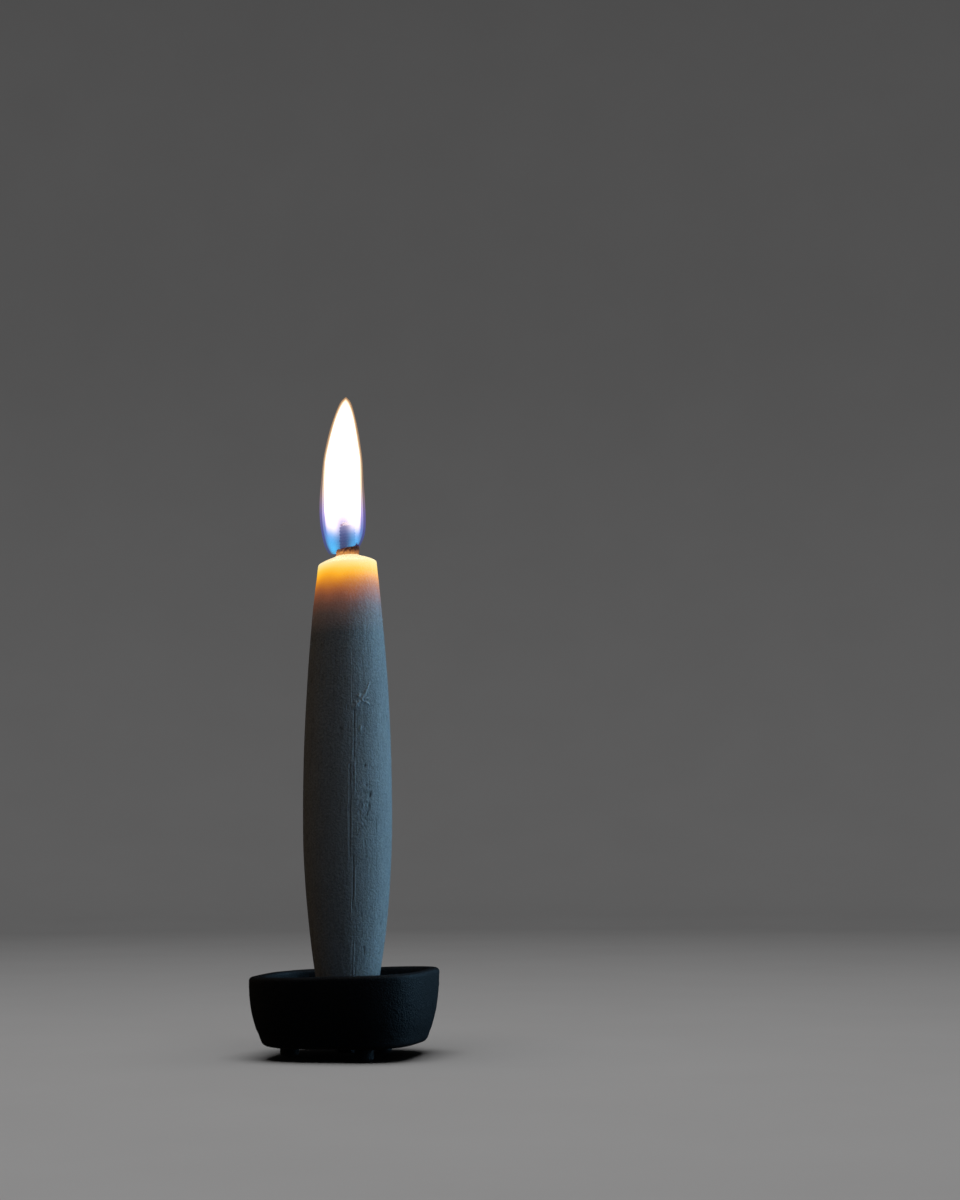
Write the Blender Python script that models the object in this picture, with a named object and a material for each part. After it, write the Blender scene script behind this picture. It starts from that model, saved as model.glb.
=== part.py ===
"""A lit pillar candle on a small cast-iron spike dish.

Metres, +Z up. The origin is on the table under the middle of the dish. The
dish's flat sides face X and Y, and its rim climbs gently towards +X. The candle
stands on a spike, a little to the +X side of the middle, and lifts straight up.
"""
import math

import bmesh
import bpy

MM = 0.001
GAP = 0.3 * MM  # air left between pieces that touch
SNUG = 0.15 * MM  # air left between the thin sleeves of the wick
SHARP_ANGLE = math.radians(40)  # edges sharper than this stay crisp

# Dish: a rounded square, drawn as a superellipse
DISH_HALF = 21.9 * MM
CORNER_POWER = 3.4
RIM_HEIGHT = 20.6 * MM  # at the middle of the dish
RIM_SLOPE = math.tan(math.radians(1.7))
BASE_HEIGHT = 3.2 * MM
BASE_INSET = 3.5 * MM  # how far the foot of the wall stands inside the rim
WALL_CURVE = 2.7
WALL = 2.8 * MM
FLOOR = 2.6 * MM
BASE_FILLET = 1.8 * MM
FLOOR_FILLET = 4.0 * MM
DISH_STEPS = 48
FILLET_STEPS = 4
LIP_STEPS = 5
OUTER_WALL_STEPS = 6
INNER_WALL_STEPS = 4
FLOOR_TOP = BASE_HEIGHT + FLOOR

# Feet: three knobs on a circle
FOOT_CIRCLE = 14.1 * MM
FOOT_ANGLES = {"foot_left": 184, "foot_front": 304, "foot_back": 64}
FOOT_RADIUS = 2.4 * MM
FOOT_SOLE = 1.4 * MM
SHANK_RADIUS = 1.1 * MM
SOCKET_DEPTH = 1.4 * MM
FOOT_STEPS = 20

# Spike: a seat, a threaded stub through the floor and a point
SPIKE_X = 0.6 * MM
SEAT_RADIUS = 5.0 * MM
SEAT_HEIGHT = 1.0 * MM
SPIKE_RADIUS = 0.8 * MM
SPIKE_TIP_RADIUS = 0.2 * MM
SPIKE_LENGTH = 17 * MM
STUB_RADIUS = 1.5 * MM
STUB_END = 0.9 * MM
NUT_WIDTH = 5.5 * MM
NUT_HEIGHT = 1.8 * MM
NUT_STEPS = 24
SPIKE_STEPS = 16
SEAT_TOP = FLOOR_TOP + GAP + SEAT_HEIGHT

# Candle: a barrel of wax, heights above the table
WAX_FOOT = SEAT_TOP + GAP
WAX_FOOT_RADIUS = 5.7 * MM
WAX_BELLY = 59.5 * MM
WAX_BELLY_RADIUS = 11.1 * MM
WAX_SHOULDER = 121.9 * MM
WAX_SHOULDER_RADIUS = 7.35 * MM
WAX_TOP = 124.6 * MM
SHOULDER_ROUND = 0.9 * MM
DOME_SHARES = (0.35, 0.7, 1.0)  # rows across the dome, from shoulder to bore
DOME_CURVE = 1.6
TOP_SLOPE = 0.08  # the burnt top leans, lower towards -X
SLOPE_START = 111 * MM
WAX_STEPS = 32
WAX_ROWS = 14

# Wick: a paper tube wound with rush pith
TUBE_BORE = 0.95 * MM
TUBE_RADIUS = 1.25 * MM
WINDING_RADIUS = 2.0 * MM
WINDING_PITCH = 1.0 * MM
WINDING_GROOVE = 0.2 * MM
WICK_TOP = 132.6 * MM
WICK_STEPS = 16
WAX_BORE = WINDING_RADIUS + SNUG

# Char: the crust round the foot of the wick
CHAR_RADIUS = 2.8 * MM
CHAR_FOOT = WAX_TOP + TOP_SLOPE * CHAR_RADIUS + GAP
CHAR_HEIGHT = 1.0 * MM

# Flame: a thin shell, open below
FLAME_FOOT = 125.6 * MM
FLAME_TIP = 164.1 * MM
FLAME_FOOT_RADIUS = 3.4 * MM
FLAME_BELLY = 134.4 * MM
FLAME_BELLY_RADIUS = 5.7 * MM
FLAME_SKIN = 0.35 * MM
FLAME_STEPS = 24
FLAME_ROWS = 14
FLAME_CROWDING = 1.3  # over 1 sets the rows closer together near the tip


def clear_scene():
    for item in list(bpy.data.objects):
        bpy.data.objects.remove(item, do_unlink=True)


def make_material(name, color, roughness, metallic=0.0):
    material = bpy.data.materials.new(name)
    material.use_nodes = True
    shader = material.node_tree.nodes["Principled BSDF"]
    shader.inputs["Base Color"].default_value = (*color, 1.0)
    shader.inputs["Roughness"].default_value = roughness
    shader.inputs["Metallic"].default_value = metallic
    return material


def make_object(name, mesh_builder, material, place=(0.0, 0.0, 0.0), parent=None):
    """Run mesh_builder on a new bmesh and add the closed result to the scene."""
    bm = bmesh.new()
    mesh_builder(bm)
    bmesh.ops.recalc_face_normals(bm, faces=bm.faces)
    mesh = bpy.data.meshes.new(name)
    bm.to_mesh(mesh)
    bm.free()
    mesh.materials.append(material)
    mesh.shade_smooth()
    mesh.set_sharp_from_angle(angle=SHARP_ANGLE)
    item = bpy.data.objects.new(name, mesh)
    item.location = place
    item.parent = parent
    bpy.context.scene.collection.objects.link(item)
    return item


def make_cutter(name, mesh_builder):
    item = make_object(name, mesh_builder, make_material(name, (0.5, 0.1, 0.1), 0.5))
    item.hide_render = True
    item.display_type = "WIRE"
    return item


def join_rings(bm, lower, upper):
    """Fill between two rings. A ring of one vertex is a pole."""
    count = max(len(lower), len(upper))
    for index in range(count):
        following = (index + 1) % count
        corners = [lower[index % len(lower)]]
        if len(lower) > 1:
            corners.append(lower[following])
        if len(upper) > 1:
            corners.append(upper[following])
        corners.append(upper[index % len(upper)])
        bm.faces.new(corners)


def turn(bm, profile, steps, closed, center=(0.0, 0.0)):
    """Turn a profile of (radius, height) about +Z. A closed profile makes a ring."""
    rings = []
    for radius, height in profile:
        count = steps if radius > 0 else 1
        ring = []
        for index in range(count):
            angle = math.tau * index / steps
            x = center[0] + radius * math.cos(angle)
            y = center[1] + radius * math.sin(angle)
            ring.append(bm.verts.new((x, y, height)))
        rings.append(ring)
    for lower, upper in zip(rings, rings[1:]):
        join_rings(bm, lower, upper)
    if closed:
        join_rings(bm, rings[-1], rings[0])


def arc(center, radius, start, end, steps):
    """Points of an arc in the profile plane, with angles in degrees."""
    points = []
    for index in range(steps + 1):
        angle = math.radians(start + (end - start) * index / steps)
        points.append((center[0] + radius * math.cos(angle), center[1] + radius * math.sin(angle)))
    return points


# ---------------------------------------------------------------- dish

def outer_half(height):
    """Half width of the dish's outside at a height at its middle."""
    drop = (RIM_HEIGHT - height) / (RIM_HEIGHT - BASE_HEIGHT)
    return DISH_HALF - BASE_INSET * drop ** WALL_CURVE


def wall_heights(low, high, steps):
    return [low + (high - low) * index / steps for index in range(steps + 1)]


def dish_profile():
    """Half width and height, from the middle of the underside to the middle of the floor."""
    lip = WALL / 2
    base_half = outer_half(BASE_HEIGHT + BASE_FILLET)
    fillet_center = (base_half - BASE_FILLET, BASE_HEIGHT + BASE_FILLET)
    profile = [(0.0, BASE_HEIGHT)]
    profile += arc(fillet_center, BASE_FILLET, 270, 345, FILLET_STEPS)
    heights = wall_heights(BASE_HEIGHT + 1.6 * BASE_FILLET, RIM_HEIGHT - lip, OUTER_WALL_STEPS)
    profile += [(outer_half(height), height) for height in heights]
    lip_center = (outer_half(RIM_HEIGHT - lip) - lip, RIM_HEIGHT - lip)
    profile += arc(lip_center, lip, 30, 180, LIP_STEPS)
    heights = wall_heights(RIM_HEIGHT - 2 * lip, FLOOR_TOP + FLOOR_FILLET, INNER_WALL_STEPS)
    profile += [(outer_half(height) - WALL, height) for height in heights]
    floor_half = outer_half(FLOOR_TOP + FLOOR_FILLET) - WALL
    floor_center = (floor_half - FLOOR_FILLET, FLOOR_TOP + FLOOR_FILLET)
    profile += arc(floor_center, FLOOR_FILLET, 340, 270, FILLET_STEPS)
    profile.append((0.0, FLOOR_TOP))
    return profile


def superellipse(half, angle):
    across = abs(math.cos(angle)) ** CORNER_POWER + abs(math.sin(angle)) ** CORNER_POWER
    radius = half * across ** (-1 / CORNER_POWER)
    return radius * math.cos(angle), radius * math.sin(angle)


def rim_lift(x, height):
    """The slope of the rim, fading out down to the level base."""
    share = (height - FLOOR_TOP) / (RIM_HEIGHT - FLOOR_TOP)
    return x * RIM_SLOPE * min(max(share, 0.0), 1.0)


def build_dish(bm):
    rings = []
    for half, height in dish_profile():
        if half == 0.0:
            rings.append([bm.verts.new((0.0, 0.0, height))])
            continue
        ring = []
        for index in range(DISH_STEPS):
            x, y = superellipse(half, math.tau * index / DISH_STEPS)
            ring.append(bm.verts.new((x, y, height + rim_lift(x, height))))
        rings.append(ring)
    for lower, upper in zip(rings, rings[1:]):
        join_rings(bm, lower, upper)


def build_dish_holes(bm):
    """The spike's hole through the floor and the feet's blind sockets."""
    below = BASE_HEIGHT - 1 * MM
    hole = [(0.0, below), (STUB_RADIUS + GAP, below)]
    hole += [(STUB_RADIUS + GAP, FLOOR_TOP + 1 * MM), (0.0, FLOOR_TOP + 1 * MM)]
    turn(bm, hole, SPIKE_STEPS, False, (SPIKE_X, 0.0))
    socket_top = BASE_HEIGHT + SOCKET_DEPTH + GAP
    socket = [(0.0, below), (SHANK_RADIUS + GAP, below)]
    socket += [(SHANK_RADIUS + GAP, socket_top), (0.0, socket_top)]
    for angle in FOOT_ANGLES.values():
        turn(bm, socket, FOOT_STEPS, False, foot_place(angle))


def make_dish(iron):
    dish = make_object("dish", build_dish, iron)
    cut = dish.modifiers.new("holes", "BOOLEAN")
    cut.object = make_cutter("dish_holes", build_dish_holes)
    cut.solver = "EXACT"


# ---------------------------------------------------------------- feet

def foot_place(degrees):
    angle = math.radians(degrees)
    return FOOT_CIRCLE * math.cos(angle), FOOT_CIRCLE * math.sin(angle)


def build_foot(bm):
    """A rounded knob with a flat sole and a shank that stands in its socket."""
    top = BASE_HEIGHT - GAP
    rise = FOOT_RADIUS - FOOT_SOLE
    profile = [(0.0, 0.0)]
    profile += arc((FOOT_SOLE, rise), rise, 270, 360, FILLET_STEPS)
    profile += [(FOOT_RADIUS, top), (SHANK_RADIUS, top)]
    profile += [(SHANK_RADIUS, BASE_HEIGHT + SOCKET_DEPTH), (0.0, BASE_HEIGHT + SOCKET_DEPTH)]
    turn(bm, profile, FOOT_STEPS, False)


def make_feet(iron):
    for name, degrees in FOOT_ANGLES.items():
        make_object(name, build_foot, iron, (*foot_place(degrees), 0.0))


# ---------------------------------------------------------------- spike

def build_spike(bm):
    profile = [
        (0.0, STUB_END),
        (STUB_RADIUS, STUB_END),
        (STUB_RADIUS, FLOOR_TOP + GAP),
        (SEAT_RADIUS, FLOOR_TOP + GAP),
        (SEAT_RADIUS, SEAT_TOP),
        (SPIKE_RADIUS, SEAT_TOP),
        (SPIKE_RADIUS, SEAT_TOP + SPIKE_LENGTH / 3),
        (SPIKE_TIP_RADIUS, SEAT_TOP + SPIKE_LENGTH),
        (0.0, SEAT_TOP + SPIKE_LENGTH),
    ]
    turn(bm, profile, SPIKE_STEPS, False)


def build_nut(bm):
    """A thin hexagon nut below the dish, with a clear hole for the stub."""
    top = BASE_HEIGHT - GAP
    bottom = top - NUT_HEIGHT
    corner = NUT_WIDTH / 2 / math.cos(math.radians(30))
    hole = STUB_RADIUS + SNUG
    rings = []
    for radius, height in ((hole, bottom), (corner, bottom), (corner, top), (hole, top)):
        ring = []
        for index in range(NUT_STEPS):
            angle = math.tau * index / NUT_STEPS
            reach = radius
            if radius == corner:
                from_flat = (angle % math.radians(60)) - math.radians(30)
                reach = NUT_WIDTH / 2 / math.cos(from_flat)
            ring.append(bm.verts.new((reach * math.cos(angle), reach * math.sin(angle), height)))
        rings.append(ring)
    for lower, upper in zip(rings, rings[1:] + rings[:1]):
        join_rings(bm, lower, upper)


def make_spike(steel):
    make_object("spike", build_spike, steel, (SPIKE_X, 0.0, 0.0))
    make_object("spike_nut", build_nut, steel, (SPIKE_X, 0.0, 0.0))


# ---------------------------------------------------------------- candle

def wax_radius(height):
    """A barrel: two half parabolas that meet at the belly."""
    if height > WAX_BELLY:
        share = (height - WAX_BELLY) / (WAX_SHOULDER - WAX_BELLY)
        return WAX_BELLY_RADIUS - (WAX_BELLY_RADIUS - WAX_SHOULDER_RADIUS) * share ** 2
    share = (WAX_BELLY - height) / (WAX_BELLY - WAX_FOOT)
    return WAX_BELLY_RADIUS - (WAX_BELLY_RADIUS - WAX_FOOT_RADIUS) * share ** 2


def dome_profile():
    """The convex top, from the rounded shoulder in to the bore."""
    points = []
    round_center = (WAX_SHOULDER_RADIUS - SHOULDER_ROUND, WAX_SHOULDER)
    points += arc(round_center, SHOULDER_ROUND, 0, 60, 3)
    start_radius, start_height = points[-1]
    for share in DOME_SHARES:
        radius = start_radius + (WAX_BORE - start_radius) * share
        height = start_height + (WAX_TOP - start_height) * (1 - (1 - share) ** DOME_CURVE)
        points.append((radius, height))
    return points


def lean(height):
    share = (height - SLOPE_START) / (WAX_SHOULDER - SLOPE_START)
    return TOP_SLOPE * min(max(share, 0.0), 1.0)


def build_wax(bm):
    profile = [(WAX_BORE, WAX_FOOT)]
    for index in range(WAX_ROWS):
        height = WAX_FOOT + (WAX_SHOULDER - WAX_FOOT) * index / WAX_ROWS
        profile.append((wax_radius(height), height))
    profile += dome_profile()
    profile.append((WAX_BORE, SLOPE_START))
    turn(bm, profile, WAX_STEPS, True)
    for vertex in bm.verts:
        vertex.co.z += vertex.co.x * lean(vertex.co.z)


def build_tube(bm):
    profile = [(TUBE_BORE, WAX_FOOT), (TUBE_RADIUS, WAX_FOOT)]
    profile += [(TUBE_RADIUS, WICK_TOP), (TUBE_BORE, WICK_TOP)]
    turn(bm, profile, WICK_STEPS, True)


def build_winding(bm):
    """A sleeve inside the wax, and wound ribs where it stands out of the top."""
    inner = TUBE_RADIUS + SNUG
    profile = [(inner, WAX_FOOT), (WINDING_RADIUS, WAX_FOOT)]
    height = CHAR_FOOT
    while height + WINDING_PITCH < WICK_TOP:
        profile.append((WINDING_RADIUS - WINDING_GROOVE, height))
        profile.append((WINDING_RADIUS, height + WINDING_PITCH / 2))
        height += WINDING_PITCH
    profile += [(WINDING_RADIUS - WINDING_GROOVE, WICK_TOP), (inner, WICK_TOP)]
    turn(bm, profile, WICK_STEPS, True)


def build_char(bm):
    inner = WINDING_RADIUS + SNUG
    top = CHAR_FOOT + CHAR_HEIGHT
    profile = [(inner, CHAR_FOOT), (CHAR_RADIUS, CHAR_FOOT)]
    profile += [(CHAR_RADIUS, CHAR_FOOT + CHAR_HEIGHT / 2), (inner + SNUG, top), (inner, top)]
    turn(bm, profile, WICK_STEPS, True)


def flame_radius(height):
    """Swells quickly from its foot to its belly and tapers to the tip."""
    if height < FLAME_BELLY:
        share = (FLAME_BELLY - height) / (FLAME_BELLY - FLAME_FOOT)
        return FLAME_BELLY_RADIUS - (FLAME_BELLY_RADIUS - FLAME_FOOT_RADIUS) * share ** 2
    share = (height - FLAME_BELLY) / (FLAME_TIP - FLAME_BELLY)
    return FLAME_BELLY_RADIUS * math.sqrt(1 - share)


def build_flame(bm):
    outer = []
    inner = []
    for index in range(FLAME_ROWS + 1):
        share = index / FLAME_ROWS
        height = FLAME_FOOT + (FLAME_TIP - FLAME_FOOT) * (1 - (1 - share) ** FLAME_CROWDING)
        outer.append((flame_radius(height), height))
        if index < FLAME_ROWS - 1:
            inner.append((flame_radius(height) - FLAME_SKIN, height))
    outer[-1] = (0.0, FLAME_TIP)
    inner.append((0.0, inner[-1][1] + FLAME_SKIN))
    turn(bm, inner[::-1] + outer, FLAME_STEPS, False)


def make_candle(wax, paper, rush, char, fire):
    """Everything that lifts off the spike together, hung on one empty on its axis."""
    axis = bpy.data.objects.new("candle_axis", None)
    axis.location = (SPIKE_X, 0.0, 0.0)
    bpy.context.scene.collection.objects.link(axis)
    make_object("candle_wax", build_wax, wax, parent=axis)
    make_object("wick_tube", build_tube, paper, parent=axis)
    make_object("wick_winding", build_winding, rush, parent=axis)
    make_object("wick_char", build_char, char, parent=axis)
    make_object("flame", build_flame, fire, parent=axis)


def build():
    clear_scene()
    iron = make_material("cast_iron", (0.018, 0.019, 0.022), 0.55, 1.0)
    steel = make_material("bright_steel", (0.45, 0.45, 0.46), 0.35, 1.0)
    wax = make_material("wax", (0.74, 0.72, 0.68), 0.55)
    paper = make_material("wick_paper", (0.55, 0.50, 0.40), 0.9)
    rush = make_material("charred_rush", (0.035, 0.030, 0.032), 0.9)
    char = make_material("char", (0.12, 0.04, 0.02), 0.9)
    fire = make_material("fire", (1.0, 0.72, 0.30), 0.5)
    make_dish(iron)
    make_feet(iron)
    make_spike(steel)
    make_candle(wax, paper, rush, char, fire)


build()
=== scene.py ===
import math
import random

import bpy
import numpy as np
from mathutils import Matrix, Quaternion, Vector, noise


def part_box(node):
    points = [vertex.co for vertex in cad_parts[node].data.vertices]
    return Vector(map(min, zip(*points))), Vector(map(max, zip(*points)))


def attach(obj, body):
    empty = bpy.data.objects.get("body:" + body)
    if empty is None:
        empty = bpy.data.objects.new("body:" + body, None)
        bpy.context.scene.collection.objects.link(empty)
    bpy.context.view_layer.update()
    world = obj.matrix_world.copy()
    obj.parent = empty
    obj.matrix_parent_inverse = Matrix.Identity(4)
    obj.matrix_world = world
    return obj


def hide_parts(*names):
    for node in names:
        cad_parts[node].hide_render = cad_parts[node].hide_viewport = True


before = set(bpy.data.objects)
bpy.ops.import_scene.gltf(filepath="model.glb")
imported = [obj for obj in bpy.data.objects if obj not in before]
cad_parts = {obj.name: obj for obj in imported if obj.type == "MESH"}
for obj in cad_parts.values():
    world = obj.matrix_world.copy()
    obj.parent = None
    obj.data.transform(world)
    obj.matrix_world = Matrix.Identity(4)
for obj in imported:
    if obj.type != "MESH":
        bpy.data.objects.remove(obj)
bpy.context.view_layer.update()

# Looks of the lit candle on its cast-iron spike dish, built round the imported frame.
# Lengths are in metres. The dish's flat sides face X and Y, and its rim climbs
# towards +X. Everything that lifts off the spike rides on the body "candle".

MM = 0.001
DISH = "dish"
CANDLE = "candle"

# ---------------------------------------------------------------- places from the frame

dish_low, dish_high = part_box("dish")
wax_low, wax_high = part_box("candle_wax")
spike_low, spike_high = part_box("spike")
nut_low, nut_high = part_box("spike_nut")
tube_low, tube_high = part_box("wick_tube")
winding_low, winding_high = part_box("wick_winding")
char_low, char_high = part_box("wick_char")
flame_low, flame_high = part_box("flame")

AXIS_X = (spike_low.x + spike_high.x) / 2

# Dish
WALL = 2.8 * MM
LIP_ROUNDING = 0.9 * MM
DISH_HALF = (dish_high.x - dish_low.x) / 2
CORNER_POWER = 3.4
BASE_HEIGHT = dish_low.z
RIM_SLOPE = math.tan(math.radians(1.7))
RIM_HEIGHT = dish_high.z - RIM_SLOPE * (DISH_HALF - WALL / 2)
BASE_INSET = 3.5 * MM
WALL_CURVE = 2.7
FLOOR_TOP = BASE_HEIGHT + 2.6 * MM
BASE_FILLET = 1.8 * MM
FLOOR_FILLET = 4.0 * MM
SPIKE_HOLE = 1.65 * MM

# Camera, in metres and degrees. It stands a little below the middle of the candle and to its
# right, and tips up, so that the candle sits low and left in the frame.
CAMERA_AZIMUTH = 12.2
CAMERA_DISTANCE = 0.600
CAMERA_HEIGHT = 0.0550
CAMERA_ASIDE = 0.03388
CAMERA_TIP = 5.51
CAMERA_ROLL = 0.35
CAMERA_LENS = 72.0

# Wax
WAX_FOOT = wax_low.z
WAX_FOOT_RADIUS = 5.7 * MM
WAX_BELLY = 59.5 * MM
WAX_BELLY_RADIUS = (wax_high.x - wax_low.x) / 2
WAX_BORE = 2.1 * MM
TOP_SLOPE = 0.08
WAX_TOP = wax_high.z - TOP_SLOPE * WAX_BORE
WAX_SHOULDER = WAX_TOP - 2.7 * MM
WAX_SHOULDER_RADIUS = 7.35 * MM
WAX_CREST = WAX_TOP - 0.65 * MM
SLOPE_START = WAX_TOP - 13.6 * MM
SEAM = math.radians(CAMERA_AZIMUTH - 90) + 0.14  # faces the camera, a little to its right
FAR_SEAM = SEAM + math.pi
PAINTED_GLOW_REACH = 20 * MM  # how far down the painted glow of the flame's light reaches in the wax
PATCH_SIDE, PATCH_HEIGHT = 2.9 * MM, 61 * MM  # the rough patch, from the front seam and the table
PATCH_HALF_WIDTH, PATCH_HALF_HEIGHT = 2.6 * MM, 7 * MM

# Wick
TUBE_BORE = 0.95 * MM
TUBE_RADIUS = (tube_high.x - tube_low.x) / 2
CORD_RADIUS = 0.40 * MM
CORD_PITCH = 0.82 * MM
CORD_STEPS_PER_TURN = 26
CORD_SIDES = 10
CORD_TURN_RADIUS = (winding_high.x - winding_low.x) / 2 - CORD_RADIUS
WICK_TOP = winding_high.z

# Flame
FLAME_FOOT = flame_low.z
FLAME_TIP = flame_high.z
FLAME_HEIGHT = FLAME_TIP - FLAME_FOOT

# ---------------------------------------------------------------- mesh helpers

def smoothstep(value, start, end):
    share = np.clip((value - start) / (end - start), 0.0, 1.0)
    return share * share * (3 - 2 * share)


def noise_at(points, size, offset=0.0):
    """Perlin noise from -1 to 1 at each point, with features about as large as size."""
    flat = np.asarray(points, float).reshape(-1, 3) / np.asarray(size, float) + offset
    values = np.array([noise.noise(Vector(point)) for point in flat])
    return values.reshape(np.shape(points)[:-1])


def curve_through(points, count):
    """Catmull-Rom curve through a few points, sampled evenly by length."""
    points = np.array(points, float)
    ends = np.vstack([2 * points[0] - points[1], points, 2 * points[-1] - points[-2]])
    dense = []
    for index in range(len(points) - 1):
        before, start, end, after = ends[index:index + 4]
        for t in np.linspace(0, 1, 40, endpoint=False):
            dense.append(0.5 * (2 * start + (end - before) * t
                                + (2 * before - 5 * start + 4 * end - after) * t ** 2
                                + (3 * start - before - 3 * end + after) * t ** 3))
    dense.append(points[-1])
    return resample(np.array(dense), count)


def resample(points, count):
    """The same polyline with count points spaced evenly along it."""
    steps = np.linalg.norm(np.diff(points, axis=0), axis=1)
    length = np.concatenate([[0.0], np.cumsum(steps)])
    wanted = np.linspace(0.0, length[-1], count)
    return np.stack([np.interp(wanted, length, points[:, axis]) for axis in range(points.shape[1])], 1)


def arc(center, radius, start, end, steps=12):
    angles = np.radians(np.linspace(start, end, steps + 1))
    return [(center[0] + radius * math.cos(a), center[1] + radius * math.sin(a)) for a in angles]


def grid_normals(points, wrap_rows):
    """Unit normals of a grid whose columns go round."""
    around = np.roll(points, -1, axis=1) - np.roll(points, 1, axis=1)
    if wrap_rows:
        along = np.roll(points, -1, axis=0) - np.roll(points, 1, axis=0)
    else:
        along = np.gradient(points, axis=0)
    normals = np.cross(around, along)
    return normals / np.maximum(np.linalg.norm(normals, axis=-1, keepdims=True), 1e-12)


def grid_faces(rows, columns, wrap_rows):
    row = np.arange(rows if wrap_rows else rows - 1)
    column = np.arange(columns)
    r, c = np.meshgrid(row, column, indexing="ij")
    r_next = (r + 1) % rows
    c_next = (c + 1) % columns
    corners = [r * columns + c, r * columns + c_next, r_next * columns + c_next, r_next * columns + c]
    return np.stack(corners, -1).reshape(-1, 4)


def add_mesh(name, vertices, faces, material, masks=None):
    """A smooth-shaded mesh object. masks maps a name to one number per vertex."""
    mesh = bpy.data.meshes.new(name)
    mesh.from_pydata(np.asarray(vertices).tolist(), [], [list(face) for face in faces])
    for mask, values in (masks or {}).items():
        layer = mesh.attributes.new(mask, "FLOAT", "POINT")
        layer.data.foreach_set("value", np.asarray(values, np.float32).ravel())
    mesh.materials.append(material)
    mesh.validate()
    mesh.shade_smooth()
    item = bpy.data.objects.new(name, mesh)
    bpy.context.scene.collection.objects.link(item)
    return item


def add_grid(name, points, material, wrap_rows=False, close_ends=(False, False), masks=None):
    """A tube of rows, each a closed ring, with optional poles that close its ends."""
    rows, columns = points.shape[:2]
    vertices = points.reshape(-1, 3)
    faces = grid_faces(rows, columns, wrap_rows).tolist()
    masks = {key: np.asarray(value).ravel() for key, value in (masks or {}).items()}
    for at_end, row in zip(close_ends, (0, rows - 1)):
        if not at_end:
            continue
        pole = len(vertices)
        vertices = np.vstack([vertices, points[row].mean(axis=0)])
        masks = {key: np.append(value, value[row * columns]) for key, value in masks.items()}
        for column in range(columns):
            edge = [row * columns + column, row * columns + (column + 1) % columns]
            faces.append([pole, *reversed(edge)] if row == 0 else [pole, *edge])
    return add_mesh(name, vertices, faces, material, masks)


def lathe(profile, columns, center=(0.0, 0.0)):
    """Grid of a profile of (radius, height) turned about +Z, rows running up the outside."""
    profile = np.asarray(profile)
    angle = math.tau * np.arange(columns) / columns
    x = center[0] + profile[:, :1] * np.cos(angle)
    y = center[1] + profile[:, :1] * np.sin(angle)
    z = np.repeat(profile[:, 1:2], columns, axis=1)
    return np.stack([x, y, z], -1)


# ---------------------------------------------------------------- material helpers

class Nodes:
    """A material's node tree with short ways to add and link nodes."""

    def __init__(self, name, roughness=0.5, metallic=0.0):
        self.material = bpy.data.materials.new(name)
        self.material.use_nodes = True
        self.tree = self.material.node_tree
        self.shader = self.tree.nodes["Principled BSDF"]
        self.place = self.add("ShaderNodeTexCoord").outputs["Object"]
        self.set("Roughness", roughness)
        self.set("Metallic", metallic)

    def add(self, kind, **values):
        node = self.tree.nodes.new(kind)
        for key, value in values.items():
            setattr(node, key, value)
        return node

    def set(self, socket, value):
        self.shader.inputs[socket].default_value = value

    def link(self, source, socket):
        target = self.shader.inputs[socket] if isinstance(socket, str) else socket
        self.tree.links.new(source, target)

    def attribute(self, name):
        return self.add("ShaderNodeAttribute", attribute_name=name).outputs["Fac"]

    def noise(self, size, detail=3.0, roughness=0.55, stretch=(1.0, 1.0, 1.0)):
        """Noise with features about as large as size, drawn out along an axis by stretch."""
        mapping = self.add("ShaderNodeMapping")
        mapping.inputs["Scale"].default_value = [1 / (size * axis) for axis in stretch]
        self.link(self.place, mapping.inputs["Vector"])
        texture = self.add("ShaderNodeTexNoise")
        texture.inputs["Scale"].default_value = 1.0
        texture.inputs["Detail"].default_value = detail
        texture.inputs["Roughness"].default_value = roughness
        self.link(mapping.outputs["Vector"], texture.inputs["Vector"])
        return texture.outputs["Fac"]

    def ramp(self, source, stops):
        """Colour ramp. stops are (place, colour) with a grey value or three numbers."""
        node = self.add("ShaderNodeValToRGB")
        elements = node.color_ramp.elements
        while len(elements) < len(stops):
            elements.new(0.5)
        for element, (place, color) in zip(elements, stops):
            element.position = place
            rgb = (color,) * 3 if isinstance(color, (int, float)) else color
            element.color = (*rgb, 1.0)
        self.link(source, node.inputs["Fac"])
        return node.outputs["Color"]

    def range(self, source, low, high, start=0.0, end=1.0):
        node = self.add("ShaderNodeMapRange")
        node.inputs["From Min"].default_value = start
        node.inputs["From Max"].default_value = end
        node.inputs["To Min"].default_value = low
        node.inputs["To Max"].default_value = high
        self.link(source, node.inputs["Value"])
        return node.outputs["Result"]

    def math(self, operation, first, second):
        node = self.add("ShaderNodeMath", operation=operation)
        for value, socket in zip((first, second), node.inputs):
            if isinstance(value, (int, float)):
                socket.default_value = value
            else:
                self.link(value, socket)
        return node.outputs["Value"]

    def mix(self, share, first, second, blend="MIX"):
        node = self.add("ShaderNodeMix", data_type="RGBA", blend_type=blend)
        for value, socket in zip((share, first, second), (node.inputs[0], node.inputs[6], node.inputs[7])):
            if isinstance(value, (int, float)):
                socket.default_value = value
            elif isinstance(value, tuple):
                socket.default_value = (*value, 1.0)
            else:
                self.link(value, socket)
        return node.outputs[2]

    def bump(self, height, distance, strength=1.0, under=None):
        node = self.add("ShaderNodeBump")
        node.inputs["Distance"].default_value = distance
        node.inputs["Strength"].default_value = strength
        self.link(height, node.inputs["Height"])
        if under is not None:
            self.link(under, node.inputs["Normal"])
        return node.outputs["Normal"]


# ---------------------------------------------------------------- materials

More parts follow.
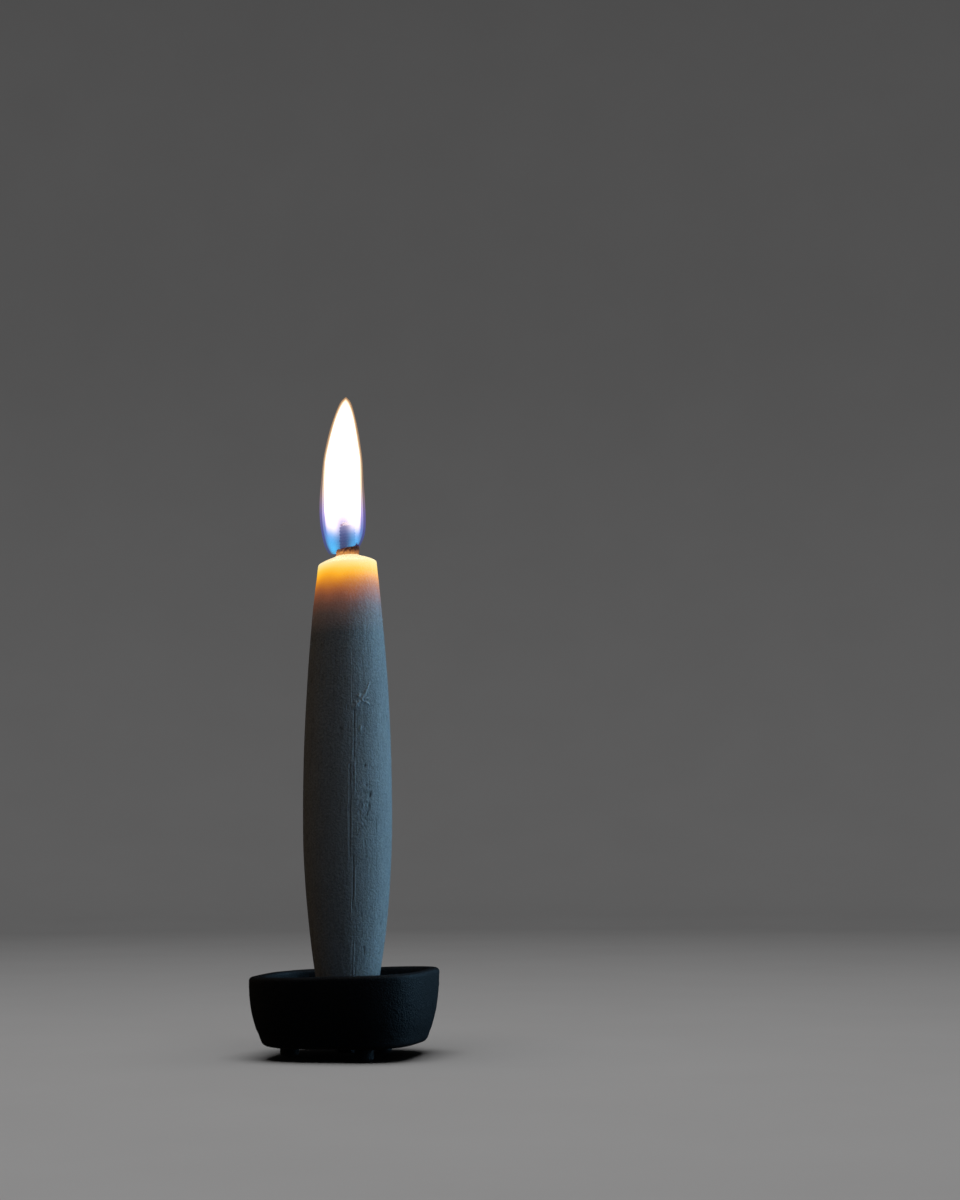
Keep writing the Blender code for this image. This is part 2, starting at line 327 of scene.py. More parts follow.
def iron_material():
    """Black cast iron: sand grain, a satin sheen, and a lip worn a little smoother, whose lighter colour
    is partly worn iron and partly a painted highlight.
    """
    n = Nodes("black_cast_iron")
    wear_and_highlight = n.attribute("wear_and_highlight")
    cloud = n.noise(6 * MM, detail=4)
    grain = n.noise(0.30 * MM, detail=3, roughness=0.6)
    base = n.ramp(cloud, [(0.30, (0.0060, 0.0060, 0.0072)), (0.70, (0.0120, 0.0120, 0.0145))])
    # the lip's lighter colour: worn iron, and also a painted highlight along the lip
    worn_and_highlit = n.mix(wear_and_highlight, base, (0.016, 0.017, 0.021))
    n.link(worn_and_highlit, "Base Color")
    rough = n.range(grain, 0.50, 0.74, 0.25, 0.75)
    smoother = n.math("MULTIPLY", wear_and_highlight, 0.10)
    n.link(n.math("SUBTRACT", rough, smoother), "Roughness")
    n.set("Specular IOR Level", 0.32)
    coarse = n.bump(n.noise(0.44 * MM, detail=3), 0.24 * MM, 1.0)
    n.link(n.bump(grain, 0.12 * MM, 1.0, coarse), "Normal")
    return n.material


def steel_material():
    """Turned steel with fine rings and a dull bloom; the nut has a black finish, and the stub below the
    dish floor is painted black as shade.
    """
    n = Nodes("turned_steel", metallic=1.0)
    rings = n.noise(0.12 * MM, detail=2, stretch=(12, 12, 1))
    bare = n.ramp(n.noise(2 * MM), [(0.3, (0.46, 0.455, 0.45)), (0.7, (0.62, 0.61, 0.60))])
    black_finish_and_shade = n.attribute("black_finish_and_shade")
    n.link(n.mix(black_finish_and_shade, bare, (0.018, 0.018, 0.020)), "Base Color")
    turned = n.range(rings, 0.40, 0.58, 0.3, 0.7)
    n.link(n.math("ADD", turned, n.math("MULTIPLY", black_finish_and_shade, 0.12)), "Roughness")
    n.link(n.bump(rings, 0.015 * MM, 0.5), "Normal")
    return n.material


# Painted glow of the wax: emission that stands in for the flame's light shining through it, as (share of
# the glow's reach below the top, colour)
PAINTED_GLOW_COLORS = (
    (0.00, (0.78, 0.60, 0.30)),
    (0.04, (0.92, 0.74, 0.40)),
    (0.08, (0.98, 0.81, 0.43)),
    (0.13, (1.00, 0.74, 0.22)),
    (0.19, (1.00, 0.58, 0.055)),
    (0.25, (0.98, 0.42, 0.012)),
    (0.31, (0.74, 0.255, 0.010)),
    (0.37, (0.51, 0.155, 0.012)),
    (0.44, (0.33, 0.088, 0.016)),
    (0.52, (0.185, 0.050, 0.018)),
    (0.62, (0.080, 0.026, 0.014)),
    (0.75, (0.030, 0.014, 0.010)),
    (0.90, (0.010, 0.005, 0.004)),
    (1.00, 0.0),
)


def wax_material():
    """Off-white wax with long streaks and fine specks, with the flame's light on its top painted in as a
    glow and a warm tint.
    """
    n = Nodes("pale_wax")
    dark = n.attribute("dark")
    light = n.attribute("light")
    painted_glow_depth = n.attribute("painted_glow_depth")
    streaks = n.noise(0.45 * MM, detail=4, roughness=0.6, stretch=(1, 1, 11))
    smears = n.noise(1.9 * MM, detail=3, stretch=(1, 1, 5))
    cloud = n.noise(8 * MM, detail=4, stretch=(1, 1, 1.6))
    specks = n.noise(0.55 * MM, detail=3, roughness=0.65)
    pale = n.ramp(cloud, [(0.25, (0.66, 0.66, 0.645)), (0.75, (0.77, 0.765, 0.745))])
    smeared = n.mix(n.range(smears, 0.0, 0.22, 0.45, 0.75), pale, (0.50, 0.50, 0.50))
    streaked = n.mix(n.range(streaks, 0.0, 0.50, 0.48, 0.75), smeared, (0.42, 0.42, 0.42))
    speckled = n.mix(n.range(specks, 0.0, 0.60, 0.51, 0.67), streaked, (0.40, 0.40, 0.39))
    flecked = n.mix(n.range(specks, 0.60, 0.0, 0.32, 0.47), speckled, (0.93, 0.93, 0.91))
    # painted light: the flame's warm light on the top of the wax, mixed into its colour
    painted_flame_warmth = n.mix(n.range(painted_glow_depth, 0.60, 0.0, 0.05, 0.60), flecked, (0.80, 0.48, 0.14))
    edged = n.mix(light, painted_flame_warmth, (1.0, 1.0, 0.98))
    n.link(n.mix(n.math("MULTIPLY", dark, 0.8), edged, (0.12, 0.115, 0.11)), "Base Color")
    n.link(n.range(streaks, 0.42, 0.66, 0.3, 0.7), "Roughness")
    n.set("Subsurface Weight", 0.15)
    n.set("Subsurface Radius", (1.0, 0.75, 0.5))
    n.set("Subsurface Scale", 1.2 * MM)
    # painted glow: emission standing in for the flame's light through the top of the wax
    n.link(n.ramp(painted_glow_depth, PAINTED_GLOW_COLORS), "Emission Color")
    n.set("Emission Strength", 1.0)
    fine = n.bump(specks, 0.17 * MM, 1.0)
    n.link(n.bump(streaks, 0.07 * MM, 1.0, fine), "Normal")
    return n.material


def paper_material():
    n = Nodes("rolled_paper", roughness=0.85)
    fibres = n.noise(0.25 * MM, detail=4, stretch=(1, 1, 3))
    n.link(n.ramp(fibres, [(0.3, (0.40, 0.34, 0.24)), (0.7, (0.62, 0.56, 0.44))]), "Base Color")
    n.link(n.bump(fibres, 0.02 * MM), "Normal")
    return n.material


def cord_material():
    """Rush pith: straw-coloured inside the wax, charred where it has burnt."""
    n = Nodes("rush_pith", roughness=0.9)
    fibres = n.noise(0.16 * MM, detail=4, stretch=(1, 1, 0.6))
    straw = n.ramp(fibres, [(0.3, (0.38, 0.30, 0.17)), (0.7, (0.60, 0.50, 0.32))])
    black = n.ramp(fibres, [(0.35, (0.006, 0.007, 0.010)), (0.70, (0.045, 0.050, 0.070))])
    n.link(n.mix(n.attribute("char"), straw, black), "Base Color")
    n.link(n.ramp(n.attribute("ember_and_painted_glow"), [(0.0, 0.0), (0.6, (0.35, 0.05, 0.01)), (1.0, (1.0, 0.30, 0.05))]),
           "Emission Color")
    n.set("Emission Strength", 0.8)
    n.link(n.bump(fibres, 0.05 * MM), "Normal")
    return n.material


def crust_material():
    """Brown-red char, with the flame's light on its foot painted in as an orange glow."""
    n = Nodes("burnt_crust", roughness=0.8)
    crumbs = n.noise(0.35 * MM, detail=4)
    n.link(n.ramp(crumbs, [(0.32, (0.012, 0.006, 0.005)), (0.52, (0.10, 0.030, 0.015)),
                           (0.72, (0.30, 0.11, 0.04))]), "Base Color")
    # painted light: the flame's light on the crust's foot, set as orange emission
    n.link(n.ramp(n.attribute("ember_and_painted_glow"), [(0.0, (0.02, 0.006, 0.004)), (0.5, (0.30, 0.10, 0.03)),
                                         (1.0, (0.78, 0.34, 0.09))]), "Emission Color")
    n.set("Emission Strength", 0.8)
    n.link(n.bump(crumbs, 0.08 * MM), "Normal")
    return n.material


def flame_material(name, strength, colors):
    """Glowing gas. Its colour follows its height up the flame."""
    n = Nodes(name, roughness=1.0)
    n.set("Base Color", (0.0, 0.0, 0.0, 1.0))
    n.set("Specular IOR Level", 0.0)
    n.link(n.ramp(n.attribute("height"), colors), "Emission Color")
    n.set("Emission Strength", strength)
    n.link(n.attribute("solidity"), "Alpha")
    return n.material


# ---------------------------------------------------------------- dish

def outer_half(height):
    drop = np.clip((RIM_HEIGHT - height) / (RIM_HEIGHT - BASE_HEIGHT), 0.0, 1.0)
    return DISH_HALF - BASE_INSET * drop ** WALL_CURVE


def wall_points(low, high, inset, steps=20):
    heights = np.linspace(low, high, steps)
    return [(outer_half(height) - inset, height) for height in heights]


def dish_profile():
    """Closed outline of half width and height: underside, wall, lip, inside, floor, hole."""
    lip = LIP_ROUNDING
    base_half = float(outer_half(BASE_HEIGHT + BASE_FILLET))
    under = [(SPIKE_HOLE, BASE_HEIGHT), (base_half - BASE_FILLET - 0.1 * MM, BASE_HEIGHT)]
    fillet = arc((base_half - BASE_FILLET, BASE_HEIGHT + BASE_FILLET), BASE_FILLET, 272, 342)
    outside = fillet + wall_points(BASE_HEIGHT + 1.6 * BASE_FILLET, RIM_HEIGHT - lip, 0.0)
    lip_half = float(outer_half(RIM_HEIGHT - lip))
    rounded = arc((lip_half - lip, RIM_HEIGHT - lip), lip, 8, 90)
    rounded += arc((lip_half - WALL + lip, RIM_HEIGHT - lip), lip, 90, 172)
    floor_half = float(outer_half(FLOOR_TOP + FLOOR_FILLET)) - WALL
    inside = wall_points(RIM_HEIGHT - 1.2 * lip, FLOOR_TOP + FLOOR_FILLET, WALL)
    inside += arc((floor_half - FLOOR_FILLET, FLOOR_TOP + FLOOR_FILLET), FLOOR_FILLET, 350, 272)
    floor = [(floor_half - FLOOR_FILLET - 0.3 * MM, FLOOR_TOP), (SPIKE_HOLE, FLOOR_TOP)]
    hole = [(SPIKE_HOLE, FLOOR_TOP - 0.4 * MM), (SPIKE_HOLE, BASE_HEIGHT + 0.4 * MM)]
    parts = ((under, 22), (outside, 62), (rounded, 20), (inside, 46), (floor, 16), (hole, 4))
    return np.vstack([resample(np.array(points), count) for points, count in parts])


def dish_grid(profile, columns):
    """The outline swept round the rounded square, which turns into a circle at the hole."""
    angle = math.tau * np.arange(4 * columns) / (4 * columns)
    across = np.abs(np.cos(angle)) ** CORNER_POWER + np.abs(np.sin(angle)) ** CORNER_POWER
    ring = np.stack([np.cos(angle), np.sin(angle)], 1) * (across ** (-1 / CORNER_POWER))[:, None]
    ring = resample(np.vstack([ring, ring[:1]]), columns + 1)[:-1]
    direction = np.arctan2(ring[:, 1], ring[:, 0])
    circle = np.stack([np.cos(direction), np.sin(direction)], 1)
    half = profile[:, 0][:, None, None]
    height = profile[:, 1][:, None]
    square = smoothstep(half, SPIKE_HOLE, 14 * MM)
    flat = half * (circle[None] * (1 - square) + ring[None] * square)
    x = flat[..., 0] + AXIS_X * (1 - square[..., 0])
    lift = x * RIM_SLOPE * np.clip((height - FLOOR_TOP) / (RIM_HEIGHT - FLOOR_TOP), 0.0, 1.0)
    return np.stack([x, flat[..., 1], np.broadcast_to(height, x.shape) + lift], -1)


def make_dish(material):
    """Sand-cast shell: slow waves, small lumps and grain, all pushed along the surface."""
    points = dish_grid(dish_profile(), 520)
    normals = grid_normals(points, True)
    rim = RIM_HEIGHT + points[..., 0] * RIM_SLOPE
    near_lip = smoothstep(points[..., 2], rim - 2.2 * MM, rim - 0.3 * MM)
    near_hole = 1 - smoothstep(np.hypot(points[..., 0] - AXIS_X, points[..., 1]), 2 * MM, 6 * MM)
    lumps = noise_at(points, 1.5 * MM, 3.1)
    push = 0.10 * MM * noise_at(points, 9 * MM)
    push += 0.06 * MM * np.clip(lumps - 0.12, 0.0, 1.0) * 2 * (1 - 0.6 * near_lip)
    push += 0.022 * MM * noise_at(points, 0.62 * MM, 7.7) * (1 - 0.5 * near_lip)
    push *= 1 - near_hole
    # worn lip: smoother and lighter, the lighter colour also a painted highlight along the lip
    wear_and_highlight = near_lip * np.clip(0.65 + 0.6 * noise_at(points, 2.5 * MM, 5.0), 0.0, 1.0)
    shell = add_grid("dish_shell", points + normals * push[..., None], material, wrap_rows=True,
                     masks={"wear_and_highlight": wear_and_highlight})
    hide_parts("dish")
    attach(shell, DISH)


def foot_profile(low, high):
    """A rounded knob that flares into the underside of the dish."""
    radius = (high.x - low.x) / 2
    sole = 1.4 * MM
    rise = radius - sole
    points = [(0.25 * sole, low.z), (sole, low.z)]
    points += arc((sole, low.z + rise), rise, 280, 360)
    points += [(radius * 0.985, BASE_HEIGHT - 1.1 * MM), (radius * 0.98, BASE_HEIGHT - 0.7 * MM)]
    points += [(radius * 1.05, BASE_HEIGHT - 0.25 * MM), (radius * 1.22, BASE_HEIGHT + 0.05 * MM)]
    points += [(radius * 0.8, BASE_HEIGHT + 0.5 * MM)]
    return resample(np.array(points), 44)


def make_feet(material):
    for node in ("foot_left", "foot_front", "foot_back"):
        low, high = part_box(node)
        center = ((low.x + high.x) / 2, (low.y + high.y) / 2)
        points = lathe(foot_profile(low, high), 84, center)
        normals = grid_normals(points, False)
        above_sole = smoothstep(points[..., 2], low.z + 0.1 * MM, low.z + 0.8 * MM)
        push = 0.09 * MM * noise_at(points, 2.4 * MM) + 0.03 * MM * noise_at(points, 0.6 * MM, 2.2)
        points = points + normals * (push * above_sole)[..., None]
        knob = add_grid(node + "_knob", points, material, close_ends=(True, True),
                        masks={"wear_and_highlight": np.zeros(points.shape[:2])})
        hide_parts(node)
        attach(knob, DISH)


# ---------------------------------------------------------------- spike

def make_spike(material):
    """A turned pin: threaded stub, round seat, tapered point."""
    seat_top = FLOOR_TOP + 1.3 * MM
    seat_radius = (spike_high.x - spike_low.x) / 2
    stub, pin = 1.5 * MM, 0.8 * MM
    pitch, thread_depth = 0.5 * MM, 0.25 * MM
    chamfer = 0.3 * MM
    profile = [(0.4 * MM, spike_low.z), (stub - chamfer, spike_low.z)]
    height = spike_low.z + chamfer
    while height < BASE_HEIGHT + 0.8 * MM:
        profile += [(stub, height), (stub - thread_depth, height + pitch / 2)]
        height += pitch
    profile += [(stub - 0.1 * MM, FLOOR_TOP + 0.15 * MM), (seat_radius - 0.2 * MM, FLOOR_TOP + 0.2 * MM)]
    profile += [(seat_radius, FLOOR_TOP + 0.4 * MM), (seat_radius, seat_top - 0.25 * MM)]
    profile += [(seat_radius - 0.25 * MM, seat_top), (pin + 0.5 * MM, seat_top)]
    profile += [(pin, seat_top + 0.5 * MM), (pin, seat_top + 5.6 * MM)]
    profile += [(0.30 * MM, spike_high.z - 1.2 * MM), (0.06 * MM, spike_high.z)]
    points = lathe(profile, 64, (AXIS_X, 0.0))
    # painted shade: the stub below the dish floor is coloured black as if in the dish's shadow
    black_finish_and_shade = 1.0 * (points[..., 2] < FLOOR_TOP)
    pin_piece = add_grid("spike_pin", points, material, close_ends=(True, True),
                         masks={"black_finish_and_shade": black_finish_and_shade})
    pin_piece.data.set_sharp_from_angle(angle=math.radians(35))
    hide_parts("spike")
    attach(pin_piece, DISH)


def make_nut(material):
    """A thin hexagon nut with rounded-off corners."""
    width = nut_high.y - nut_low.y
    columns = 96
    angle = math.tau * np.arange(columns) / columns
    to_flat = np.cos((angle % math.radians(60)) - math.radians(30))
    hexagon = width / 2 / to_flat
    round_off = np.minimum(hexagon, width / 2 * 1.06)
    edge = 0.35 * MM
    rings = [(SPIKE_HOLE, nut_low.z + edge), (SPIKE_HOLE + edge, nut_low.z), (round_off, nut_low.z),
             (hexagon, nut_low.z + edge), (hexagon, nut_high.z - edge), (round_off, nut_high.z),
             (SPIKE_HOLE + edge, nut_high.z), (SPIKE_HOLE, nut_high.z - edge)]
    rows = []
    for radius, height in rings:
        reach = np.broadcast_to(radius, angle.shape)
        rows.append(np.stack([AXIS_X + reach * np.cos(angle), reach * np.sin(angle),
                              np.full(columns, height)], -1))
    # the nut is black all over, its black finish
    nut = add_grid("spike_lock_nut", np.array(rows), material, wrap_rows=True,
                   masks={"black_finish_and_shade": np.ones((len(rows), columns))})
    nut.data.set_sharp_from_angle(angle=math.radians(25))
    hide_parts("spike_nut")
    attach(nut, DISH)


# ---------------------------------------------------------------- wax

def wax_radius(height):
    above = (height - WAX_BELLY) / (WAX_SHOULDER - WAX_BELLY)
    below = (WAX_BELLY - height) / (WAX_BELLY - WAX_FOOT)
    share = np.where(height > WAX_BELLY, above, below)
    end = np.where(height > WAX_BELLY, WAX_SHOULDER_RADIUS, WAX_FOOT_RADIUS)
    return WAX_BELLY_RADIUS - (WAX_BELLY_RADIUS - end) * share ** 2


# Where the wax's rows are closer together, as (middle height, half the span, how much closer):
# at the scuffs and round the rough patch
FINE_HEIGHTS = ((89 * MM, 4.5 * MM, 2.2), (65 * MM, 9 * MM, 0.7))
# The same for its columns, as (seam, way round from it, half the span, how much closer)
FINE_ANGLES = ((SEAM, 0.04, 0.16, 3.5), (SEAM, 0.35, 0.30, 1.5), (FAR_SEAM, 0.0, 0.08, 2.0))


def wax_heights(count):
    wanted = np.linspace(WAX_FOOT + 0.7 * MM, WAX_SHOULDER, 2000)
    density = np.ones_like(wanted)
    for middle, span, closer in FINE_HEIGHTS:
        density += closer * np.exp(-((wanted - middle) / span) ** 4)
    placed = np.cumsum(density)
    return np.interp(np.linspace(placed[0], placed[-1], count), placed, wanted)


def wax_profile():
    """Radius and height, from the bore at the foot, up the side and over the dome."""
    foot = [(WAX_BORE, WAX_FOOT + 0.3 * MM), (WAX_BORE + 0.3 * MM, WAX_FOOT)]
    foot += [(WAX_FOOT_RADIUS - 0.8 * MM, WAX_FOOT)]
    side = [(float(wax_radius(height)), height) for height in wax_heights(286)]
    edge = 0.7 * MM
    top = arc((WAX_SHOULDER_RADIUS - edge, WAX_SHOULDER), edge, 6, 62)
    edge_radius, edge_height = top[-1]
    for share in np.linspace(0.08, 1.0, 20):
        radius = WAX_BORE + (edge_radius - WAX_BORE) * (1 - share)
        height = edge_height + (WAX_CREST - edge_height) * (1 - (1 - share) ** 2)
        cone = 0.55 * MM * math.exp(-((radius - WAX_BORE) / (1.1 * MM)) ** 2)
        top.append((radius, height + cone))
    bore = [(WAX_BORE, WAX_CREST - 0.5 * MM), (WAX_BORE, WAX_FOOT + 0.8 * MM)]
    foot, top, bore = [resample(np.array(points), count)
                       for points, count in ((foot, 8), (top, 30), (bore, 6))]
    return np.vstack([foot, np.array(side), top, bore])


def wax_angles(count):
    wanted = np.linspace(0.0, math.tau, 4000, endpoint=False)
    density = np.ones_like(wanted)
    for seam, middle, span, closer in FINE_ANGLES:
        density += closer * np.exp(-((around_from(wanted, seam) - middle) / span) ** 2)
    placed = np.cumsum(density)
    return np.interp(np.linspace(0.0, placed[-1], count + 1)[:-1], placed, wanted)


def around_from(angle, start):
    """Signed way round from start, in radians."""
    return (angle - start + math.pi) % math.tau - math.pi


def stroke(side, height, start, end, width):
    """How near each surface point is to a stroke that narrows from one place to another."""
    start, end = np.array(start), np.array(end)
    run = end - start
    share = np.clip(((side - start[0]) * run[0] + (height - start[1]) * run[1]) / run.dot(run), 0, 1)
    distance = np.hypot(side - start[0] - share * run[0], height - start[1] - share * run[1])
    return np.exp(-(distance / (width * (1.1 - 0.5 * share))) ** 2)


# Marks beside the front seam: two places as (side, height) from the seam line, and how wide
# and how strong the mark is. Lengths here are in millimetres.
SCUFFS = (
    ((0.6, 85.6), (2.7, 87.7), 0.38, 1.0), ((2.7, 87.7), (4.8, 91.6), 0.30, 0.8),
    ((2.6, 87.4), (4.6, 86.5), 0.30, 0.8), ((2.0, 88.3), (2.2, 88.8), 0.42, 1.0),
    ((1.1, 86.9), (1.7, 86.0), 0.30, 0.7), ((3.4, 87.6), (4.4, 87.9), 0.26, 0.6),
    ((2.3, 80.3), (2.5, 80.7), 0.36, 0.9),
)
LIGHT_LINES = (
    ((0.05, 99.0), (0.1, 83.0), 0.13, 0.5), ((0.60, 98.0), (0.7, 86.0), 0.11, 0.4),
    ((0.35, 84.0), (0.2, 72.5), 0.13, 0.5), ((1.15, 84.0), (1.2, 76.0), 0.11, 0.4),
    ((-0.80, 71.5), (-0.85, 60.0), 0.17, 0.65), ((-0.85, 60.0), (-0.80, 49.0), 0.20, 0.65),
    ((0.85, 72.0), (0.80, 64.0), 0.15, 0.8), ((0.95, 46.5), (0.90, 38.5), 0.18, 0.8),
    ((0.10, 47.0), (0.05, 33.0), 0.12, 0.4), ((0.75, 28.0), (0.75, 17.0), 0.16, 0.8),
)
DARK_LINES = (
    ((0.75, 85.5), (0.72, 73.5), 0.13, 0.8), ((-0.40, 71.5), (-0.20, 64.0), 0.14, 0.6),
    ((-0.20, 64.0), (-0.30, 49.0), 0.15, 0.65), ((0.35, 71.0), (0.40, 66.0), 0.12, 0.5),
    ((0.55, 49.5), (0.50, 42.0), 0.15, 0.9), ((0.50, 42.0), (0.30, 36.5), 0.14, 0.8),
    ((0.45, 27.0), (0.45, 18.0), 0.12, 0.4), ((-3.6, 100.5), (-4.2, 92.5), 0.14, 0.35),
    ((-4.2, 92.5), (-4.4, 87.5), 0.14, 0.35), ((6.6, 58.5), (6.9, 54.0), 0.12, 0.6),
)
PITS = (
    ((-2.65, 80.5), (-2.2, 79.9), 0.26, 0.8), ((3.5, 71.4), (3.4, 71.0), 0.28, 1.0),
    ((4.9, 64.5), (4.7, 63.6), 0.30, 1.0), ((4.4, 61.6), (4.0, 59.4), 0.34, 0.7),
    ((3.2, 27.2), (3.4, 25.4), 0.28, 0.7), ((3.9, 66.6), (4.0, 66.2), 0.22, 0.7),
    ((-1.0, 86.0), (-1.1, 85.2), 0.18, 0.5), ((2.6, 35.3), (2.7, 34.6), 0.18, 0.5),
)


def nearest(side, height, marks):
    near = np.zeros_like(height)
    for start, end, width, strength in marks:
        reach = stroke(side, height, np.array(start) * MM, np.array(end) * MM, width * MM)
        near = np.maximum(near, strength * reach)
    return near


def seam_marks(points, side, seed):
    """A broken line of flash with a groove beside it, which wanders a little as it climbs."""
    along = np.zeros_like(points)
    along[..., 2] = points[..., 2]
    wander = 0.35 * MM * noise_at(along, 14 * MM, seed) + 0.10 * MM * noise_at(along, 3 * MM, seed)
    strength = np.clip(0.55 + 1.1 * noise_at(along, 8 * MM, seed + 4.0), 0.1, 1.0)
    flash = strength * np.exp(-((side - wander) / (0.17 * MM)) ** 2)
    groove = strength * np.exp(-((side - wander - 0.5 * MM) / (0.16 * MM)) ** 2)
    return flash, groove


def fold_at_seam(side):
    """The wax climbs just before the seam line and falls away slowly after it."""
    rise = smoothstep(side, -2.6 * MM, 0.2 * MM)
    return 0.06 * MM * rise * np.exp(-(np.maximum(side, 0) / (4.0 * MM)) ** 2)


def far_pits(angle, height):
    """Small pits on the sides and back, away from the marks by the front seam."""
    sunk = np.zeros_like(height)
    dice = random.Random(11)
    for _ in range(70):
        place = SEAM + dice.uniform(0.9, math.tau - 0.6)
        level = dice.uniform(WAX_FOOT + 4 * MM, WAX_SHOULDER - 9 * MM)
        size = dice.uniform(0.25, 0.42) * MM
        length = size * dice.uniform(1.0, 2.6)
        across = around_from(angle, place) * wax_radius(np.array(level))
        near = np.exp(-(across / size) ** 2 - ((height - level) / length) ** 2)
        sunk = np.maximum(sunk, near * dice.uniform(0.3, 0.7))
    return sunk


class WaxSurface:
    """The plain barrel as a grid, and where each of its points is.

    side and far_side are the way round from the front and the far seam, along the surface.
    outside, on_side and below_top run from 0 to 1 and say how far a point belongs there.
    """

    def __init__(self):
        angles = wax_angles(300)
        profile = wax_profile()
        x = AXIS_X + profile[:, :1] * np.cos(angles)
        y = profile[:, :1] * np.sin(angles)
        self.height = np.repeat(profile[:, 1:2], len(angles), axis=1)
        self.points = np.stack([x, y, self.height], -1)
        self.normals = grid_normals(self.points, True)
        self.angle = np.broadcast_to(angles, self.height.shape)
        self.side = around_from(self.angle, SEAM) * wax_radius(self.height)
        self.far_side = around_from(self.angle, FAR_SEAM) * wax_radius(self.height)
        self.outside = np.ones_like(self.height) * (profile[:, :1] > WAX_BORE * 1.1)
        self.on_side = smoothstep(profile[:, 0], 4.5 * MM, 5.6 * MM)[:, None] * self.outside
        self.below_top = 1 - smoothstep(self.height, WAX_SHOULDER - 12 * MM, WAX_SHOULDER - 2 * MM)


def wax_marks(surface):
    """How strongly each kind of mark shows at each point."""
    points, height = surface.points, surface.height
    flash, groove = seam_marks(points, surface.side, 1.7)
    far_flash, far_groove = seam_marks(points, surface.far_side, 8.3)
    drawn = surface.side + 0.16 * MM * noise_at(points, 4 * MM, 5.1)
    drawn += 0.10 * MM * noise_at(points, 1.2 * MM, 7.3)
    broken = np.clip(0.9 + 0.9 * noise_at(points, 0.7 * MM, 1.9), 0.3, 1.0)
    across = (surface.side - PATCH_SIDE) / PATCH_HALF_WIDTH
    along = (height - PATCH_HEIGHT) / PATCH_HALF_HEIGHT
    return {
        "light": np.maximum(nearest(drawn, height, LIGHT_LINES), 0.30 * flash + 0.8 * far_flash),
        "dark": np.maximum(nearest(drawn, height, DARK_LINES), 0.25 * groove + 0.7 * far_groove),
        "scuffed": nearest(drawn, height, SCUFFS) * broken,
        "pitted": np.maximum(nearest(drawn, height, PITS), far_pits(surface.angle, height)),
        "rough": np.exp(-across ** 4 - along ** 4),
        "specks": noise_at(points, (0.50 * MM, 0.50 * MM, 0.65 * MM), 3.9),
    }


def wax_relief(surface, marks):
    """How far each point stands out: marks and waves on the side, slow waves on the top."""
    points = surface.points
    push = fold_at_seam(surface.side) + fold_at_seam(surface.far_side)
    push += 0.08 * MM * marks["light"] + 0.27 * MM * marks["scuffed"]
    push -= 0.10 * MM * marks["dark"] + 0.16 * MM * marks["pitted"]
    push += 0.08 * MM * noise_at(points, (11 * MM, 11 * MM, 20 * MM))
    push += 0.035 * MM * noise_at(points, (1.1 * MM, 1.1 * MM, 9 * MM), 4.4)
    push += (0.014 + 0.04 * marks["rough"]) * MM * marks["specks"]
    push *= surface.on_side * surface.below_top
    on_top = (1 - surface.below_top) * surface.outside
    return push + 0.05 * MM * noise_at(points, 3.0 * MM, 2.0) * on_top


def wax_masks(surface, marks, points):
    """Where the material is darker and lighter, and how far each point lies below the flame, which sets
    the painted glow.
    """
    shown = surface.on_side * surface.below_top
    pocks = 0.7 * marks["rough"] * np.clip(marks["specks"] * 2 - 0.25, 0, 1)
    crumbs = 0.6 * marks["rough"] * np.clip(-marks["specks"] * 2 - 0.2, 0, 1)
    wander = 0.6 * MM * noise_at(points, 4 * MM, 6.6)
    painted_glow_depth = (WAX_TOP - 0.6 * MM - (surface.height + wander)) / PAINTED_GLOW_REACH
    return {
        "dark": np.clip(marks["dark"] + marks["pitted"] + pocks, 0, 1) * shown,
        "light": np.clip(marks["light"] + marks["scuffed"] + crumbs, 0, 1) * shown,
        "painted_glow_depth": np.clip(painted_glow_depth, 0, 1),
    }


def make_wax(material):
    """Moulded barrel of wax with two seams, drag marks, scuffs, pits and a rough patch."""
    surface = WaxSurface()
    marks = wax_marks(surface)
    points = surface.points + surface.normals * wax_relief(surface, marks)[..., None]
    climb = np.clip((surface.height - SLOPE_START) / (WAX_SHOULDER - SLOPE_START), 0, 1)
    points[..., 2] += (points[..., 0] - AXIS_X) * TOP_SLOPE * climb
    wax = add_grid("wax_body", points, material, wrap_rows=True,
                   masks=wax_masks(surface, marks, points))
    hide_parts("candle_wax")
    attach(wax, CANDLE)


# ---------------------------------------------------------------- wick

def make_tube(material):
    """A thin paper tube up the middle of the winding, with a slightly uneven wall."""
    corners = [(TUBE_BORE, tube_low.z), (TUBE_RADIUS, tube_low.z)]
    corners += [(TUBE_RADIUS, tube_high.z), (TUBE_BORE, tube_high.z)]
    sides = zip(corners, corners[1:] + corners[:1], (3, 90, 3, 90))
    wall = [resample(np.array([begin, finish]), count)[:-1] for begin, finish, count in sides]
    points = lathe(np.vstack(wall), 32, (AXIS_X, 0.0))
    normals = grid_normals(points, True)
    points = points + normals * (0.02 * MM * noise_at(points, 0.8 * MM))[..., None]
    tube = add_grid("paper_tube", points, material, wrap_rows=True)
    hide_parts("wick_tube")
    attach(tube, CANDLE)


